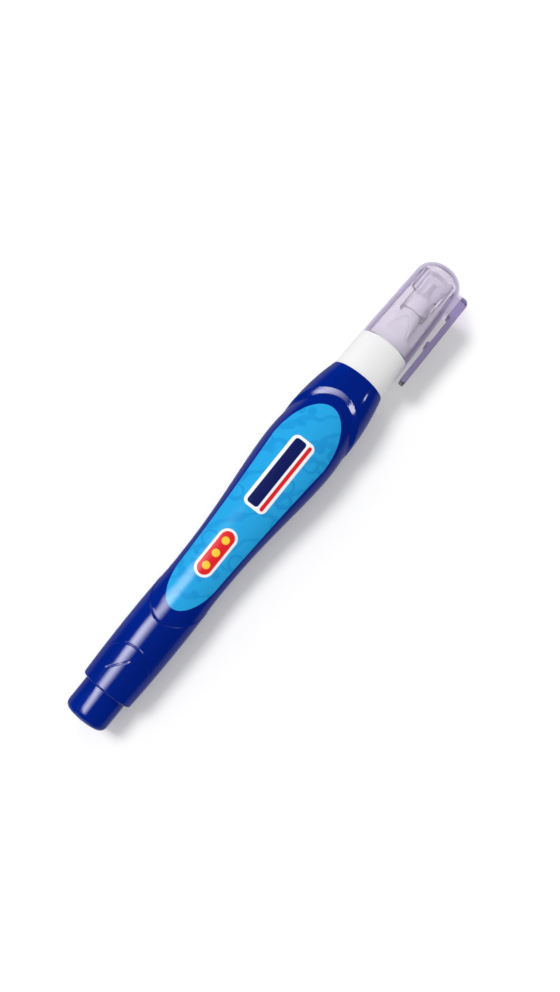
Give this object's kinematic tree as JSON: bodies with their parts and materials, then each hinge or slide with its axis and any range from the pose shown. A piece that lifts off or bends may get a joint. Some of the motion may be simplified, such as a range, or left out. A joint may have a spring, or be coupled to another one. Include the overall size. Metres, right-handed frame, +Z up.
{
  "type": "correction pen",
  "caption": "Correction pen with a squeeze barrel, a scalloped oval panel and label, a spring needle valve in a white collar, and a clear push-on cap with a moulded clip.",
  "frame": {"origin": "on the resting surface, under the middle of the pen's length", "axes": "+X along the pen towards the cap, +Z up out of the label, clip towards -Y; the pen lies on its back panel"},
  "size_m": [0.135, 0.0182, 0.0168],
  "materials": {
    "blue_plastic": "glossy deep blue moulding",
    "label_film": "satin printed film, light blue",
    "white_plastic": "satin white moulding",
    "clear_plastic": "clear lavender-grey moulding",
    "seal_plastic": "soft natural moulding",
    "valve_plastic": "natural moulding",
    "steel": "bright drawn steel"
  },
  "bodies": {
    "barrel": {"barrel": "blue_plastic", "tail_plug": "blue_plastic", "front_label": "label_film", "collar": "white_plastic", "metal_tip": "steel", "spring_seat": "valve_plastic", "valve_spring": "steel"},
    "needle": {"valve_needle": "steel", "needle_stem": "valve_plastic"},
    "ball": {"mixing_ball": "steel"},
    "cap": {"cap": "clear_plastic", "cap_seal": "seal_plastic"}
  },
  "joints": [
    {"name": "cap_pull", "type": "slide", "parent": "barrel", "child": "cap", "axis": [1, 0, 0], "range_m": [0, 0.04]},
    {"name": "needle_press", "type": "slide", "parent": "barrel", "child": "needle", "axis": [-1, 0, 0], "range_m": [0, 0.0005], "stiffness_N_per_m": 60, "springref_m": -0.0001, "deforming": ["valve_spring"]},
    {"name": "ball_roll", "type": "slide", "parent": "barrel", "child": "ball", "axis": [1, 0, 0], "range_m": [-0.0075, 0.066]}
  ]
}
